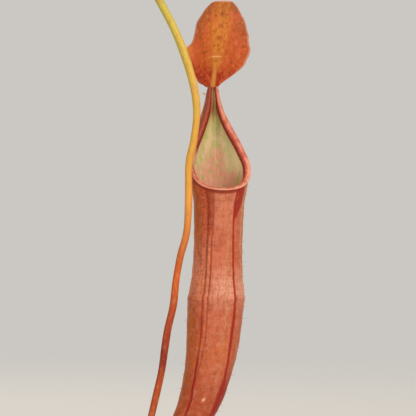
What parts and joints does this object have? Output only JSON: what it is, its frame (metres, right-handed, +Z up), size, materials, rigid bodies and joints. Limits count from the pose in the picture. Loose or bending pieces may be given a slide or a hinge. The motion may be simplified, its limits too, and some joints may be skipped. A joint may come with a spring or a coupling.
{
  "type": "potted pitcher plant",
  "caption": "Tropical pitcher plant in a plain terracotta pot: arching strap leaves whose tendrils hang down and carry upright pitchers with oblique rims and raised lids.",
  "frame": {"origin": "centre of the pot's underside", "axes": "+Z up, -Z out of the pot's underside; +X towards the leaf that holds the largest pitcher; -Y the side that pitcher's mouth faces"},
  "size_m": [0.3218, 0.302, 0.3461],
  "materials": {
    "terracotta": "matte, unglazed",
    "potting_mix": "rough bark and moss",
    "stem": "dull, slightly ribbed",
    "leaf": "satin, leathery",
    "tendril": "satin, smooth",
    "pitcher_cup": "satin, finely mottled",
    "pitcher_rim": "smooth, slightly glossy",
    "pitcher_lid": "satin, veined",
    "young_growth": "satin, finely downy",
    "spur": "matte"
  },
  "bodies": {
    "root": {"pot": "terracotta", "potting_mix": "potting_mix", "main_stem": "stem", "rolled_new_leaf": "leaf", "leaf_1": "leaf", "tendril_1": "tendril", "pitcher_1_cup": "pitcher_cup", "pitcher_1_rim": "pitcher_rim", "pitcher_1_lid": "pitcher_lid", "pitcher_1_spur": "spur", "leaf_2": "leaf", "tendril_2": "tendril", "pitcher_2_cup": "pitcher_cup", "pitcher_2_rim": "pitcher_rim", "pitcher_2_lid": "pitcher_lid", "pitcher_2_spur": "spur", "leaf_3": "leaf", "tendril_3": "tendril", "pitcher_3_cup": "pitcher_cup", "pitcher_3_rim": "pitcher_rim", "pitcher_3_lid": "pitcher_lid", "pitcher_3_spur": "spur", "leaf_4": "leaf", "tendril_4": "tendril", "pitcher_4_cup": "pitcher_cup", "pitcher_4_rim": "pitcher_rim", "pitcher_4_lid": "pitcher_lid", "pitcher_4_spur": "spur", "leaf_5": "leaf", "tendril_5": "tendril", "pitcher_5_closed": "young_growth", "leaf_6": "leaf", "tendril_6": "tendril", "pitcher_6_closed": "young_growth", "leaf_7": "leaf", "tendril_7": "tendril", "pitcher_7_closed": "young_growth", "leaf_8": "leaf", "tendril_8": "young_growth", "leaf_9": "leaf", "tendril_9": "young_growth"}
  },
  "joints": []
}
